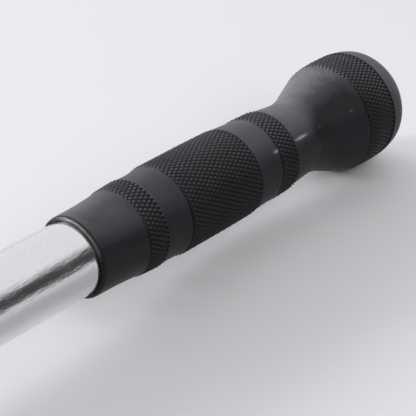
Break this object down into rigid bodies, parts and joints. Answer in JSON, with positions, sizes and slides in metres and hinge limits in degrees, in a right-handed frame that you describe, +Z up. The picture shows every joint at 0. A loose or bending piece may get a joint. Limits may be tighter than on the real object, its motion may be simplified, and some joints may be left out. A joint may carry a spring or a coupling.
{
  "type": "pull up bar",
  "caption": "Straight revolving pull bar: plated steel tube with ball-ended knurled rubber grips, turning in a steel stirrup with a swivelling hanging eye.",
  "frame": {"origin": "middle of the base: the surface that the two ball ends and the rim of the eye lie on", "axes": "+X along the bar towards the right-hand grip, +Z up, -Y the side that the stirrup leans to"},
  "size_m": [0.76, 0.1224, 0.0433],
  "materials": {
    "tube_chrome": "bright plated, faint rolling marks",
    "grip_rubber": "satin moulded, slightly scuffed",
    "plug_plastic": "matt moulded",
    "washer_nylon": "satin",
    "collar_chrome": "bright plated, turned",
    "screw_steel": "zinc grey",
    "stirrup_chrome": "bright plated strap",
    "bush_bronze": "oiled sintered bronze",
    "eye_chrome": "bright plated forging"
  },
  "bodies": {
    "bar": {"bar_tube": "tube_chrome", "right_grip": "grip_rubber", "left_grip": "grip_rubber", "right_tube_plug": "plug_plastic", "left_tube_plug": "plug_plastic", "right_thrust_washer": "washer_nylon", "left_thrust_washer": "washer_nylon", "right_stop_collar": "collar_chrome", "left_stop_collar": "collar_chrome", "right_collar_screw_front": "screw_steel", "left_collar_screw_front": "screw_steel", "right_collar_screw_back": "screw_steel", "left_collar_screw_back": "screw_steel"},
    "stirrup": {"stirrup": "stirrup_chrome", "right_bush": "bush_bronze", "left_bush": "bush_bronze", "eye_washer": "bush_bronze"},
    "eye": {"swivel_eye": "eye_chrome", "nut_washer": "screw_steel", "lock_nut": "screw_steel", "lock_nut_ring": "washer_nylon"}
  },
  "joints": [
    {"name": "bar_turn", "type": "hinge", "parent": "bar", "child": "stirrup", "pos_m": [0, 0.03957, 0.02163], "axis": [-1, 0, 0], "continuous": true},
    {"name": "eye_swivel", "type": "hinge", "parent": "stirrup", "child": "eye", "pos_m": [0, 0.03957, 0.02163], "axis": [0, -0.9858, -0.168], "continuous": true}
  ]
}
